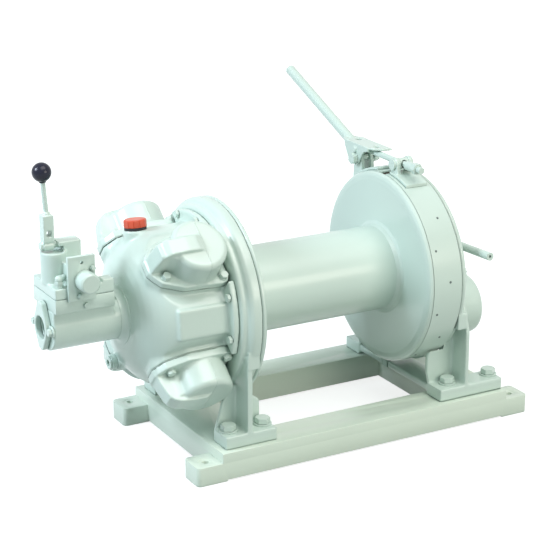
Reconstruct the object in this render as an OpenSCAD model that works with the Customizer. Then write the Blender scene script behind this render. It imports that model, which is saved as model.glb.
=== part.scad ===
// Air-driven drum winch on a bolt-down base: four-cylinder radial air motor, plain rope
// drum, two-stage back gear with sliding pinion, hand band brake and disc brake.
// All sizes in mm. Origin: centre of the four base bolt holes, on the underside.
// +X runs along the drum axis from the motor to the brake end, +Z is up.

/* [Which piece] */
// one piece by name, or all of them

/* [Base frame] */
// length over the mounting tabs
base_l = 1030; // [900:5:1200]
// length of the raised rails
rail_l = 886; // [800:2:1000]
// width over the two rails
base_w = 531; // [460:1:620]
// width of one rail
rail_w = 106; // [80:1:130]
// height of the rail tops
rail_top = 77; // [60:1:100]
// gap under the rails beside the tabs
rail_under = 4; // [2:1:8]
// width of each end cross member along the drum axis
cross_w = 150; // [90:1:170]
// width of a mounting tab
tab_w = 81; // [60:1:100]
// height of a mounting tab
tab_top = 51; // [35:1:65]
// mounting hole diameter
hole_d = 18; // [14:0.5:26]
// distance of the mounting holes from the end of the frame
hole_in = 39; // [25:1:60]
// distance of the mounting holes from the long side of the frame
hole_side = 35.5; // [20:0.5:45]

/* [Drum] */
// height of the drum axis over the floor
axis_h = 405; // [380:1:450]
// radius of the rope barrel
barrel_r = 116.5; // [90:0.5:140]
// radius of both drum flanges
flange_r = 265; // [230:1:280]
// outer face of the motor-side flange
flange_x0 = -325; // [-340:1:-300]
// thickness of the motor-side flange
flange_t = 12; // [8:1:20]
// inner face of the brake-side flange
flange_x1 = 184; // [150:1:220]
// radius of the brake track on the drum
track_r = 256.5; // [230:0.5:262]
// far end of the brake track
track_x1 = 281; // [250:1:300]
// radius of the hole for the rope end
rope_hole_r = 11; // [6:0.5:14]

/* [Brake band] */
// width of the band
band_w = 88; // [60:1:90]
// thickness of the lining
lining_t = 5.6; // [3:0.1:8]
// thickness of the steel band
band_t = 4; // [3:0.5:6]
// running gap between the track and the released lining
band_gap = 0.6; // [0.4:0.1:1]
// height of the lever pivot over the drum axis
pivot_up = 270; // [262:1:285]
// distance of the lever pivot behind the drum axis
pivot_back = 165; // [150:1:175]
// distance of the rod pin over the lever pivot
rod_arm = 25; // [22:1:30]
// lever bar diameter
bar_d = 29; // [18:1:34]
// length of the lever bar
bar_l = 384; // [250:1:420]
// slope of the lever bar at rest
bar_slope = 22; // [10:1:35]

/* [Gears] */
// gear module of both stages
gear_m = 5; // [5:1:5]
// teeth on the sliding pinion
z_pinion = 16; // [15:1:18]
// teeth on the gear of the lay shaft
z_lay = 46; // [44:1:47]
// teeth on the pinion of the lay shaft
z_laypin = 14; // [13:1:16]
// teeth on the drum gear
z_drum = 48; // [46:1:49]
// backlash along the pitch circle
backlash = 0.8; // [0.4:0.1:1.2]

/* [Motor] */
// plane of the four cylinders
cyl_x = -460; // [-470:1:-450]
// turn of the cylinder star away from a level X
star_turn = 4; // [0:1:8]
// radius of the crankcase
case_r = 206; // [190:1:215]
// distance of the cylinder faces from the axis
face_d = 188; // [182:1:192]
// distance of the crankcase flats round the cylinder faces
flat_d = 175; // [166:1:180]
// radius of the head domes
dome_r = 74; // [66:1:78]
// height of the head domes over the cylinder faces
dome_h = 96; // [80:1:100]
// cylinder bore radius
bore_r = 45; // [38:1:48]
// crank throw
throw = 30; // [24:1:34]

/* [Control valve] */
// distance of the inlet bore under the drum axis
inlet_drop = 3; // [-5:1:10]
// radius of the inlet bore
inlet_r = 30; // [20:1:32]
// diameter of the lever knob
knob_d = 49; // [35:1:55]
// radius of the rocker shaft
rock_r = 8; // [6:0.5:10]
// radius of the valve spool
spool_r = 13; // [11:0.5:15]

/* [Fits] */
// radial running clearance of shafts and pins
run = 0.05; // [0.02:0.01:0.1]

/* [Hidden] */
$fn = 48;
paint = [0.83, 0.88, 0.83];
steel = [0.62, 0.63, 0.65];
dark = [0.07, 0.08, 0.12];
rail_y = base_w / 2 - rail_w;
hole_x = base_l / 2 - hole_in;
hole_y = base_w / 2 - hole_side;
// feet of the uprights, set in from the long sides of the frame
pad_y1 = base_w / 2 - 17.5;
pad_y0 = pad_y1 - 72;
pad_top = rail_top + 34;
foot_y = pad_y1 - 40;
rib_y0 = pad_y0 - 4;
rib_y1 = rib_y0 + 12;
// underside of the tie plate between the feet of the gear case
tie_z = rail_top + 9;
// corners where the legs meet the rims
ear_y0 = 200;
ear_y1 = 250;
cap_x = -536;
cap_lean = 8.5;
plug_y = 58;
plug_z = axis_h - 156;
inlet_z = axis_h - inlet_drop;
foot_bolt_r = 12;
lay_z = axis_h - gear_m * (z_laypin + z_drum) / 2;
head_flange_t = 20;
gasket_t = 2;
// clearance round the domes
dome_gap = 3;
lin_r0 = track_r + band_gap;
lin_r1 = lin_r0 + lining_t;
band_r = lin_r1 + band_t;
band_x0 = flange_x1 + 6;
band_x1 = band_x0 + band_w;
mid_x = (band_x0 + band_x1) / 2;
piv_y = pivot_back;
piv_z = axis_h + pivot_up;
rod_z = piv_z + rod_arm;
front_y = -28;
rock_y = 5;
rock_z = axis_h + 207;
spool_x = -729;
spool_z = axis_h + 133;
lev_x = -787;
shaft_r = 25;
lay_r = 20;
bolt_pin_r = 10;
drum_brg_r = 65;
hub_r = 60;
wall_x = 325;
shift_x = wall_x + 26;
shift_y = 84;
lever_z = axis_h + 65.7;
hand_l = 372;

module box(x0, x1, y0, y1, z0, z1)
  translate([x0, y0, z0])
    cube([x1 - x0, y1 - y0, z1 - z0]);

module xrod(r, x0, x1, y, z)
  translate([x0, y, z])
    rotate([0, 90, 0])
      cylinder(r = r, h = x1 - x0);

module yrod(r, y0, y1, x, z)
  translate([x, y0, z])
    rotate([-90, 0, 0])
      cylinder(r = r, h = y1 - y0);

module zrod(r, z0, z1, x, y)
  translate([x, y, z0])
    cylinder(r = r, h = z1 - z0);

module xhex(af, x0, x1, y, z)
  translate([x0, y, z])
    rotate([0, 90, 0])
      cylinder(r = af / sqrt(3), h = x1 - x0, $fn = 6);

module yhex(af, y0, y1, x, z)
  translate([x, y0, z])
    rotate([-90, 0, 0])
      cylinder(r = af / sqrt(3), h = y1 - y0, $fn = 6);

// solid of revolution about the drum axis from [radius, x] points
module xrev(pts, n = 96)
  translate([0, 0, axis_h])
    rotate([0, 90, 0])
      rotate_extrude($fn = n)
        polygon(pts);

// plate across the drum axis from [y, z] points
module xplate(pts, x0, x1)
  translate([x0, 0, 0])
    rotate([90, 0, 90])
      linear_extrude(x1 - x0)
        polygon(pts);

// the same shape as yplate, in a cylinder's own frame
module yplate_r(pts, y0, y1)
  yplate(pts, y0, y1);

// plate across the y axis from [x, z] points
module yplate(pts, y0, y1)
  translate([0, y1, 0])
    rotate([90, 0, 0])
      linear_extrude(y1 - y0)
        polygon(pts);

// local frame of cylinder i: z is the radius, x stays the drum axis
module star(i)
  translate([0, 0, axis_h])
    rotate([45 - star_turn + 90 * i, 0, 0])
      children();

function inv(a) = tan(a) * 180 / PI - a;
function flank(z, r, sgn) = let(rb = gear_m * z * cos(20) / 2, rp = gear_m * z / 2)
  90 / z + inv(20) * 1 - sgn * backlash * 90 / PI / rp / 2 * 1
  - (r > rb ? inv(acos(rb / r)) : 0);
// outline of an external gear, one tooth centred on the local +x direction
function gear_pts(z) = let(rp = gear_m * z / 2, ra = rp + 0.9 * gear_m, rr = rp - 1.3 * gear_m,
    rs = [rr, rp - 0.45 * gear_m, rp, rp + 0.45 * gear_m, ra])
  [for (i = [0 : z - 1]) each [
    for (k = [0 : 4]) let(a = i * 360 / z - flank(z, max(rs[k], rr), 1)) [rs[k] * cos(a), rs[k] * sin(a)],
    for (k = [0 : 4]) let(a = i * 360 / z + flank(z, max(rs[4 - k], rr), 1)) [rs[4 - k] * cos(a), rs[4 - k] * sin(a)]]];

// gear across the drum axis: tooth (or gap, half = 1) points to -Z when flip = 0, to +Z when flip = 1
module xgear(z, x0, x1, cy, cz, half, flip)
  translate([x0, cy, cz])
    rotate([0, 90, 0])
      rotate([0, 0, (flip ? 180 : 0) + half * 180 / z])
        linear_extrude(x1 - x0)
          polygon(gear_pts(z));

// coil spring of half rings, each climbing by step, from z = 0 upwards
module coil(r, wire, step, n)
  for (k = [0 : n - 1])
    translate([0, 0, (k + 0.5) * step])
      rotate([0, 0, 180 * (k % 2)])
        rotate([0, -asin(step / 2 / r), 0])
          rotate_extrude(angle = 180)
            translate([r, 0])
              circle(r = wire, $fn = 16);

module bolt_z(x, y, z, r, head, len) {
  translate([x, y, z - len])
    cylinder(r = r, h = len + 0.01);
  translate([x, y, z])
    cylinder(r = head, h = r * 1.3, $fn = 6);
}

module base_frame()
  color(paint)
    difference() {
      union() {
        for (s = [-1, 1]) {
          box(-rail_l / 2, rail_l / 2, s > 0 ? rail_y : -base_w / 2, s > 0 ? base_w / 2 : -rail_y, rail_under, rail_top);
          for (t = [-1, 1]) {
            box(t > 0 ? rail_l / 2 - 13 : 12 - base_l / 2, t > 0 ? base_l / 2 - 12 : 13 - rail_l / 2,
              s > 0 ? base_w / 2 - tab_w : -base_w / 2, s > 0 ? base_w / 2 : tab_w - base_w / 2, 0, tab_top);
            box(t > 0 ? base_l / 2 - 13 : -base_l / 2, t > 0 ? base_l / 2 : 13 - base_l / 2,
              s > 0 ? base_w / 2 - tab_w + 12 : 12 - base_w / 2, s > 0 ? base_w / 2 - 12 : tab_w - base_w / 2 - 12, 0, tab_top);
            for (y = [base_w / 2 - 12, base_w / 2 - tab_w + 12])
              zrod(12, 0, tab_top, t * (base_l / 2 - 12), s * y);
          }
        }
        box(-rail_l / 2, cross_w - rail_l / 2, -rail_y - 1, rail_y + 1, rail_under, rail_top);
        box(rail_l / 2 - cross_w, rail_l / 2, -rail_y - 1, rail_y + 1, rail_under, rail_top);
      }
      for (s = [-1, 1])
        for (t = [-1, 1]) {
          zrod(hole_d / 2, -1, rail_top + 1, t * hole_x, s * hole_y);
          zrod(hole_d, tab_top - 1.5, rail_top + 1, t * hole_x, s * hole_y);
        }
      for (x = foot_xs)
        for (s = [-1, 1])
          zrod(foot_bolt_r - 1, rail_top - 45, rail_top + 1, x, s * foot_y);
    }
foot_xs = [-398, -298, 281, 418];

// hole for the foot bolts of one upright
module foot_holes(xs)
  for (x = xs)
    for (s = [-1, 1])
      zrod(foot_bolt_r + 1, rail_top - 1, pad_top + 1, x, s * foot_y);

module left_upright()
  color(paint)
    difference() {
      union() {
        xrev([[50 + run, -378], [238, -378], [246, -375], [249, -370], [249, -362], [258, -357],
          [264, -350], [265, -344], [265, -327], [58, -327], [58, -290], [50 + run, -290]]);
        for (s = [-1, 1]) {
          box(-424, -276, s > 0 ? pad_y0 : -pad_y1, s > 0 ? pad_y1 : -pad_y0, rail_top, pad_top);
          // block where the rim meets the leg
          box(-360, -327.5, s > 0 ? ear_y0 : -ear_y1, s > 0 ? ear_y1 : -ear_y0, axis_h - 122, axis_h - 75);
          yplate([[-422, pad_top - 1], [-412, pad_top + 30], [-401, axis_h - 221], [-388, axis_h - 196],
            [-362, axis_h - 179], [-345, axis_h - 155], [-345, pad_top - 1]],
            s > 0 ? rib_y0 : -rib_y1, s > 0 ? rib_y1 : -rib_y0);
          yplate([[-352, pad_top - 1], [-292, pad_top - 1], [-294, pad_top + 59], [-330, pad_top + 85],
            [-352, pad_top + 85]], s > 0 ? rib_y0 : -rib_y1, s > 0 ? rib_y1 : -rib_y0);
        }
        difference() {
          xplate([[-pad_y1, pad_top - 1], [2 - ear_y1, axis_h - 87], [ear_y1 - 2, axis_h - 87], [pad_y1, pad_top - 1],
            [pad_y0 - 26, pad_top - 1], [pad_y0 - 48, pad_top + 57], [48 - pad_y0, pad_top + 57],
            [26 - pad_y0, pad_top - 1]], -362, -347);
          xrod(200, -370, -340, 0, axis_h);
        }
      }
      foot_holes([foot_xs[0], foot_xs[1]]);
      // room round the domes of the two lower heads
      for (i = [1, 2])
        star(i)
          zrod(dome_r + dome_gap, face_d + 10, face_d + dome_h + 14, cyl_x, 0);
      // seat of the motor spigot and the holes of the motor bolts
      xrev([[0, -400], [150, -400], [150, -366], [0, -366]]);
      for (i = [0 : 7])
        star_hole(flange_angle(i), 228, 6, -395, -350);
    }

// motor flange bolts sit in pairs between the cylinders
function flange_angle(i) = 45 - star_turn + 90 * floor(i / 2) + (i % 2 == 0 ? 31 : 59);

// bolt hole i degrees round the drum axis
module star_hole(a, r, hr, x0, x1)
  translate([0, 0, axis_h])
    rotate([a, 0, 0])
      translate([0, 0, r])
        xrod(hr, x0, x1, 0, 0);

module right_upright()
  color(paint)
    difference() {
      union() {
        xrev([[0, 300], [230, 300], [244, 290], [244, track_x1 + 2], [258, track_x1 + 2], [262, track_x1 + 6], [262, 293],
          [257, 298], [212, 316], [190, wall_x], [0, wall_x]]);
        xrod(131, track_x1 + 3, wall_x - 1, 0, lay_z);
        for (s = [-1, 1]) {
          box(234, 438, s > 0 ? pad_y0 : -pad_y1, s > 0 ? pad_y1 : -pad_y0, rail_top, pad_top);
          box(track_x1 + 2.5, wall_x - 11, s > 0 ? ear_y0 + 6 : -ear_y1, s > 0 ? ear_y1 : -ear_y0 - 6, axis_h - 129,
            axis_h - 83);
          difference() {
            yplate([[238, pad_top - 1], [230, pad_top + 33], [230, axis_h - 215], [240, axis_h - 195], [274, axis_h - 173],
              [300, axis_h - 150], [314, axis_h - 145], [314, pad_top - 1]],
              s > 0 ? rib_y0 : -rib_y1, s > 0 ? rib_y1 : -rib_y0);
            xrod(band_r + 5, 200, track_x1 + 2.5, 0, axis_h);
          }
        }
        xplate([[-pad_y1, pad_top - 1], [2 - ear_y1, axis_h - 143], [-ear_y0, axis_h + 8], [ear_y0, axis_h + 8],
          [ear_y1 - 2, axis_h - 143], [pad_y1, pad_top - 1], [pad_y0 - 26, pad_top - 1], [pad_y0 - 48, pad_top + 57],
          [pad_y0 - 76, pad_top + 69], [76 - pad_y0, pad_top + 69], [48 - pad_y0, pad_top + 57],
          [26 - pad_y0, pad_top - 1]], wall_x - 12, wall_x);
        // tie plate under the band, between the two feet
        box(238, wall_x - 8, -pad_y0 - 1, 27, tie_z, tie_z + 18);
        box(238, wall_x - 8, 59, pad_y0 + 1, tie_z, tie_z + 18);
        box(253, wall_x - 8, 26, 60, tie_z, tie_z + 18);
        // boss of the disc brake
        translate([0, 0, lay_z - axis_h])
          xrev([[0, wall_x - 1], [86, wall_x - 1], [86, 474], [83, 483], [75, 488], [0, 488]], 64);
        // grease nipple on the boss
        zrod(5, lay_z + 78, lay_z + 98, 474, -4);
        zrod(3.5, lay_z + 96, lay_z + 106, 474, -4);
      }
      foot_holes([foot_xs[2], foot_xs[3]]);
      // gear space, with the sump round the lay shaft gear
      xrev([[0, 270], [244, 270], [244, 291], [236, 292], [200, 305], [150, 318], [0, 318]]);
      xrod(123, 285, 318, 0, lay_z);
      xrod(52, 316, 340, 0, axis_h);
      translate([0, 0, lay_z - axis_h])
        xrev([[0, 316], [46, 316], [46, 336], [78, 336], [78, 462], [32, 462], [32, 474], [0, 474]], 64);
      for (a = [30 : 60 : 330])
        translate([0, 0, axis_h])
          rotate([a, 0, 0])
            xrod(3.5, 317, 340, 0, 61);
      for (a = [15 : 60 : 315])
        translate([0, 0, axis_h])
          rotate([a, 0, 0])
            xrod(4, 280, track_x1 + 22, 0, 237);
    }

// inner cover of the gear case, on the drum side
module case_plate()
  color(paint)
    difference() {
      union() {
        xrev([[80, track_x1 + 3], [243.9, track_x1 + 3], [243.9, track_x1 + 9], [80, track_x1 + 9]]);
        xrod(30, 256, track_x1 + 4, 0, lay_z);
      }
      xrod(lay_r + run, 262, 300, 0, lay_z);
      for (a = [15 : 60 : 315])
        translate([0, 0, axis_h])
          rotate([a, 0, 0])
            xrod(4, 280, 300, 0, 237);
    }

// flush screws of the inner cover and hex screws of the pinion cover
module case_screws()
  color(steel) {
    for (a = [15 : 60 : 315])
      translate([0, 0, axis_h])
        rotate([a, 0, 0])
          xrod(4, track_x1 + 3.4, track_x1 + 22, 0, 237);
    for (a = [30 : 60 : 330])
      translate([0, 0, axis_h])
        rotate([a, 0, 0])
          translate([0, 0, 61]) {
            xrod(3.5, wall_x - 6, wall_x + 8, 0, 0);
            xhex(10, wall_x + 7, wall_x + 10.8, 0, 0);
          }
  }

module foot_bolts()
  color(paint)
    for (x = foot_xs)
      for (s = [-1, 1])
        bolt_z(x, s * foot_y, pad_top + 4, foot_bolt_r - 1, 20.5, 70);

module foot_washers()
  color(paint)
    for (x = foot_xs)
      for (s = [-1, 1])
        difference() {
          zrod(24, pad_top, pad_top + 4, x, s * foot_y);
          zrod(foot_bolt_r, pad_top - 1, pad_top + 5, x, s * foot_y);
        }

module motor_housing()
  color(paint)
    difference() {
      union() {
        intersection() {
          xrev([[0, -606], [70, -606], [100, -604], [124, -599], [144, -591], [161, -581], [176, -568], [188, -555],
            [198, -540], [204, -526], [case_r, -512], [case_r, -395], [0, -395]]);
          star(0)
            box(-700, -300, -flat_d, flat_d, -flat_d, flat_d);
        }
        // faced pads under the heads, sloping into the rounded end
        for (i = [0 : 3])
          star(i)
            intersection() {
              translate([0, 0, 110])
                linear_extrude(face_d - 110)
                  polygon(head_outline);
              yplate_r([[-586, face_d], [-586, face_d - 14], [-548, 110], [-392, 110], [-392, face_d]], -90, 90);
            }
        // mounting flange, cut away for the heads, and its spigot
        difference() {
          xrev([[120, -396], [236, -396], [238, -394], [238, -378], [149.9, -378], [149.9, -367], [120, -367]]);
          for (i = [0 : 3])
            star(i)
              box(-397, -377, -84, 84, face_d, 300);
        }
        // plain raised pads between the cylinders
        for (a = [0, 180])
          translate([0, 0, axis_h])
            rotate([90 - star_turn + a, 0, 0])
              box(-533, -395, -40, 40, 190, 212);
        // filler boss
        translate([0, 0, axis_h])
          rotate([-cap_lean, 0, 0])
            zrod(33, 180, 207, cap_x, 0);
        // oil plug boss
        xrod(24, -593, -540, plug_y, plug_z);
        // neck of the valve chest
        translate([0, 0, inlet_z - axis_h])
          xrev([[0, -614], [64, -614], [65, -608], [70, -600], [84, -593], [84, -585], [0, -585]]);
      }
      // crankcase
      xrev([[0, -585], [90, -585], [150, -560], [150, -395.5], [128, -395.5], [128, -360], [0, -360]]);
      for (i = [0 : 3])
        star(i)
          zrod(bore_r + 5, 90, face_d + 1, cyl_x, 0);
      for (i = [0 : 3])
        star(i)
          for (b = head_bolt_xy)
            zrod(6, face_d - 30, face_d + 1, b[0], b[1]);
      for (i = [0 : 7])
        star_hole(flange_angle(i), 228, 6.5, -410, -370);
      translate([0, 0, axis_h])
        rotate([-cap_lean, 0, 0])
          zrod(20, 130, 214, cap_x, 0);
      xrod(14, -620, -562, plug_y, plug_z);
      xrod(inlet_r, -620, -570, 0, inlet_z);
    }

head_bolt_xy = [[-546, 38], [-546, -38], [-396, 62], [-396, -62]];

module motor_bolts()
  color(paint)
    for (i = [0 : 7])
      translate([0, 0, axis_h])
        rotate([flange_angle(i), 0, 0])
          translate([0, 0, 228]) {
            xrod(6, -397, -352, 0, 0);
            xhex(18, -405, -396, 0, 0);
          }

head_outline = [[-586, -18], [-586, 18], [-579, 30], [-560, 54], [-505, 76], [-402, 80], [-388, 76], [-381, 64],
  [-381, -64], [-388, -76], [-402, -80], [-505, -76], [-560, -54], [-579, -30]];

module head(i)
  color(paint)
    star(i)
      difference() {
        union() {
          translate([0, 0, face_d + gasket_t])
            linear_extrude(head_flange_t)
              polygon(head_outline);
          // dome over the bore, with a bevelled edge
          translate([cyl_x, 0, face_d + 10])
            rotate_extrude($fn = 64)
              polygon([[0, 0], [dome_r, 0], [dome_r - 0.5, dome_h - 20], [dome_r - 4, dome_h - 14], [dome_r - 9, dome_h - 10],
                [0, dome_h - 10]]);
          // air passage from the valve end, higher over half the dome
          yplate_r([[-582, face_d + 18], [-577, face_d + 48], [-569, face_d + 78], [-557, face_d + 94],
            [-543, face_d + dome_h + 6], [-500, face_d + dome_h + 11], [-468, face_d + dome_h + 10],
            [-454, face_d + dome_h + 2], [-454, face_d + 18]], -22.8, 22.8);
          translate([0, 0, face_d + 18])
            linear_extrude(dome_h - 26)
              polygon([[-568, -18], [-568, 18], [-545, 22.8], [-505, 38], [-452, 40], [-452, -40], [-505, -38],
                [-545, -22.8]]);
        }
        zrod(bore_r + 1, face_d - 5, face_d + 30, cyl_x, 0);
        box(-560, cyl_x, -12, 12, face_d - 5, face_d + 30);
        for (b = head_bolt_xy)
          zrod(6.5, face_d - 5, face_d + 30, b[0], b[1]);
      }

module cylinder_head_1() head(0);
module cylinder_head_2() head(1);
module cylinder_head_3() head(2);
module cylinder_head_4() head(3);

module head_gaskets()
  color(dark)
    for (i = [0 : 3])
      star(i)
        difference() {
          translate([0, 0, face_d])
            linear_extrude(gasket_t)
              polygon(head_outline);
          zrod(bore_r + 5.3, face_d - 1, face_d + 5, cyl_x, 0);
          for (b = head_bolt_xy)
            zrod(6.5, face_d - 5, face_d + 30, b[0], b[1]);
        }

module head_bolts()
  color(paint)
    for (i = [0 : 3])
      star(i)
        for (b = head_bolt_xy) {
          zrod(6, face_d - 28, face_d + gasket_t + head_flange_t + 2, b[0], b[1]);
          zrod(13, face_d + gasket_t + head_flange_t, face_d + gasket_t + head_flange_t + 2, b[0], b[1]);
          translate([b[0], b[1], face_d + gasket_t + head_flange_t + 2])
            cylinder(r = 11.5, h = 9, $fn = 6);
        }

module cylinder_liners()
  color(steel)
    for (i = [0 : 3])
      star(i)
        difference() {
          zrod(bore_r + 5, 102, face_d + gasket_t, cyl_x, 0);
          zrod(bore_r, 100, face_d + 10, cyl_x, 0);
        }

module pistons()
  color(steel)
    for (i = [0 : 3])
      star(i)
        difference() {
          zrod(bore_r - 0.05, 132, 182, cyl_x, 0);
          zrod(bore_r - 8, 130, 172, cyl_x, 0);
          xrod(9, cyl_x - 60, cyl_x + 60, 0, 150);
          for (z = [175, 168])
            translate([cyl_x, 0, z])
              difference() {
                cylinder(r = bore_r + 1, h = 3);
                cylinder(r = bore_r - 3, h = 3);
              }
        }

module piston_pins()
  color(steel)
    for (i = [0 : 3])
      star(i)
        xrod(9, cyl_x - bore_r + 2, cyl_x + bore_r - 2, 0, 150);

module connecting_rods()
  color(steel)
    for (i = [0 : 3])
      star(i)
        difference() {
          union() {
            box(cyl_x - 9, cyl_x + 9, -8, 8, 58, 140);
            xrod(17, cyl_x - 9, cyl_x + 9, 0, 150);
          }
          xrod(9, cyl_x - 20, cyl_x + 20, 0, 150);
        }

module crank_bearings()
  color(steel) {
    xrev([[shaft_r + run, -560], [56, -560], [56, -540], [shaft_r + run, -540]]);
    xrev([[56, -562], [149.9, -556], [149.9, -540], [56, -540]]);
    xrev([[shaft_r + run, -396], [50, -396], [50, -370], [shaft_r + run, -370]]);
    xrev([[50, -395], [127.9, -395], [127.9, -370], [50, -370]]);
  }

module crankshaft()
  color(steel) {
    xrod(shaft_r, -570, -488, 0, axis_h);
    xrod(shaft_r, -432, wall_x + 60, 0, axis_h);
    for (x = [[-500, -486], [-434, -420]]) {
      xrod(46, x[0], x[1], 0, axis_h - 8);
    }
    xrod(20, -487, -433, 0, axis_h + throw);
  }

module rotary_valve()
  color(steel)
    difference() {
      xrev([[0, -584.7], [52, -584.7], [52, -570], [0, -570]]);
      xrod(6, -590, -570, 0, axis_h + 34);
      xrod(6, -590, -570, 0, axis_h - 34);
    }

module oil_plug()
  color(paint)
    difference() {
      union() {
        xrod(14, -606, -566, plug_y, plug_z);
        xrod(21, -606, -593, plug_y, plug_z);
        xhex(32, -612, -605, plug_y, plug_z);
      }
      xhex(17, -613, -600, plug_y, plug_z);
    }

module filler_seal()
  color(dark)
    translate([0, 0, axis_h])
      rotate([-cap_lean, 0, 0])
        difference() {
          zrod(29, 207, 213, cap_x, 0);
          zrod(18, 200, 230, cap_x, 0);
        }

module filler_cap()
  color([0.85, 0.3, 0.16])
    translate([cap_x, 0, axis_h])
      rotate([-cap_lean, 0, 0]) {
        translate([0, 0, 213.2])
          cylinder(r = 30, h = 21, $fn = 12);
        translate([0, 0, 190])
          cylinder(r = 18 - run, h = 24);
      }

module valve_chest()
  color(paint)
    difference() {
      union() {
        box(-804, -640, -58, 58, inlet_z, axis_h + 49);
        intersection() {
          xrod(62, -804, -614, 0, inlet_z);
          box(-810, -610, -70, 70, inlet_z - 70, axis_h + 49);
        }
      }
      xrod(inlet_r, -805, -613, 0, inlet_z);
      for (s = [-1, 1])
        xrod(5, -805, -780, s * ear_y, inlet_z + 2);
    }
ear_y = 52;

module inlet_flange()
  color(paint)
    difference() {
      union() {
        xplate([[-41, inlet_z + 3], [-38, inlet_z + 20], [-14, inlet_z + 66], [0, inlet_z + 70], [14, inlet_z + 66],
          [38, inlet_z + 20], [41, inlet_z + 3], [38, inlet_z - 14], [14, inlet_z - 56], [0, inlet_z - 60],
          [-14, inlet_z - 56], [-38, inlet_z - 14]], -819, -804);
        box(-810, -804, -ear_y, ear_y, inlet_z - 12, inlet_z + 16);
        for (s = [-1, 1])
          xrod(14, -810, -804, s * ear_y, inlet_z + 2);
      }
      xrod(inlet_r, -820, -803, 0, inlet_z);
      for (s = [-1, 1])
        xrod(5.5, -820, -803, s * ear_y, inlet_z + 2);
    }

module inlet_bolts()
  color(paint)
    for (s = [-1, 1]) {
      xrod(5, -811, -782, s * ear_y, inlet_z + 2);
      xhex(17, -819, -810, s * ear_y, inlet_z + 2);
    }

module distributor_plate()
  color(paint)
    difference() {
      box(-803, -645, -73.5, 73.5, axis_h + 49, axis_h + 86);
      yrod(5, -75, -50, -722, axis_h + 63);
      zrod(14, axis_h + 40, axis_h + 90, spool_x, 50);
    }

// upper valve casting with the tower, the spool body and the rocker bracket
module valve_top()
  color(paint)
    difference() {
      union() {
        box(-803, -678, -73.5, 73.5, axis_h + 86, axis_h + 114);
        box(-676, -645, -73.5, -40, axis_h + 86, axis_h + 122);
        box(-679, -675, -60, -50, axis_h + 86, axis_h + 110);
        zrod(33, axis_h + 110, axis_h + 192, -775, 0);
        box(-764, -700, -73.5, 62, axis_h + 110, axis_h + 169);
        // closed housing of the rocker
        box(-766, -706, rock_y - 21, rock_y + 21, axis_h + 165, rock_z + 10);
      }
      zrod(26, axis_h + 189, axis_h + 205, -775, 0);
      xrod(rock_r + run, -775, -716, rock_y, rock_z);
      yrod(spool_r + run, -80, rock_y + 46, spool_x, spool_z);
      yrod(21, -80, -62, spool_x, spool_z);
      // space of the rocker arm
      box(spool_x - 7, spool_x + 7, rock_y - 30, rock_y + 30, spool_z, axis_h + 165);
      box(spool_x - 7, spool_x + 7, rock_y - 15, rock_y + 15, axis_h + 161, rock_z + 5);
      for (b = cover_xz)
        yrod(5, -80, -55, b[0], b[1]);
    }

cover_xz = [[-708, axis_h + 162], [-743, axis_h + 94]];

module cover_plate()
  color(paint)
    difference() {
      box(-772, -700, -85.5, -73.5, axis_h + 81, axis_h + 195);
      yrod(21, -90, -70, spool_x, spool_z);
      yrod(4.5, -90, -70, -736, axis_h + 179);
      for (b = cover_xz)
        yrod(5.5, -90, -70, b[0], b[1]);
    }

module cover_nuts()
  color(paint) {
    for (b = cover_xz) {
      yrod(5, -96, -56, b[0], b[1]);
      difference() {
        yhex(13, -93, -85.5, b[0], b[1]);
        yrod(5, -97, -80, b[0], b[1]);
      }
    }
    yrod(5, -73.6, -52, -722, axis_h + 63);
    yhex(13, -79, -73.5, -722, axis_h + 63);
  }

module end_cap()
  color(paint)
    difference() {
      translate([spool_x, -85.5, spool_z])
        rotate([90, 0, 0])
          rotate_extrude($fn = 64)
            polygon([[0, 0], [26.5, 0], [26, 38], [22, 42], [0, 42]]);
      yrod(21, -122, -84, spool_x, spool_z);
    }

module centring_spring()
  color(steel)
    translate([spool_x, -120.3, spool_z])
      rotate([-90, 0, 0])
        coil(15, 1.4, 3.84, 9);

module valve_spool()
  color(steel) {
    yrod(spool_r, -60, rock_y - 5, spool_x, spool_z);
    yrod(6, rock_y - 6, rock_y + 6, spool_x, spool_z);
    yrod(spool_r, rock_y + 5, rock_y + 22, spool_x, spool_z);
    yrod(8, -100, -59, spool_x, spool_z);
    yrod(19, -84, -81, spool_x, spool_z);
  }

module throttle_lever()
  color(paint)
    difference() {
      union() {
        box(lev_x - 14, lev_x + 14, rock_y - 14, rock_y + 14, rock_z + 10, rock_z + 79);
        xrod(13.5, lev_x - 14, lev_x + 14, rock_y, rock_z);
        xrod(rock_r, lev_x - 14, -717, rock_y, rock_z);
        xhex(20, lev_x - 21, lev_x - 13.9, rock_y, rock_z);
        translate([lev_x, rock_y, rock_z + 79])
          cylinder(r = 9.5, h = 6);
        translate([lev_x, rock_y, rock_z + 78])
          rotate([0, -4, 0])
            cylinder(r = 6.5, h = 100);
        box(spool_x - 5, spool_x + 5, rock_y - 4, rock_y + 4, spool_z + 12, rock_z);
        xrod(4.7, spool_x - 5, spool_x + 5, rock_y, spool_z + 12);
      }
      // see-through window over the hub
      box(lev_x - 6, lev_x + 6, rock_y - 20, rock_y + 20, rock_z + 24, rock_z + 40);
    }

module throttle_knob()
  color(dark)
    translate([lev_x, rock_y, rock_z + 78])
      rotate([0, -4, 0])
        difference() {
          union() {
            translate([0, 0, 110])
              sphere(r = knob_d / 2, $fn = 48);
            cylinder(r = 9, h = 90);
          }
          cylinder(r = 200, h = 84);
          translate([0, 0, -1])
            cylinder(r = 6.5, h = 101);
        }

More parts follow.
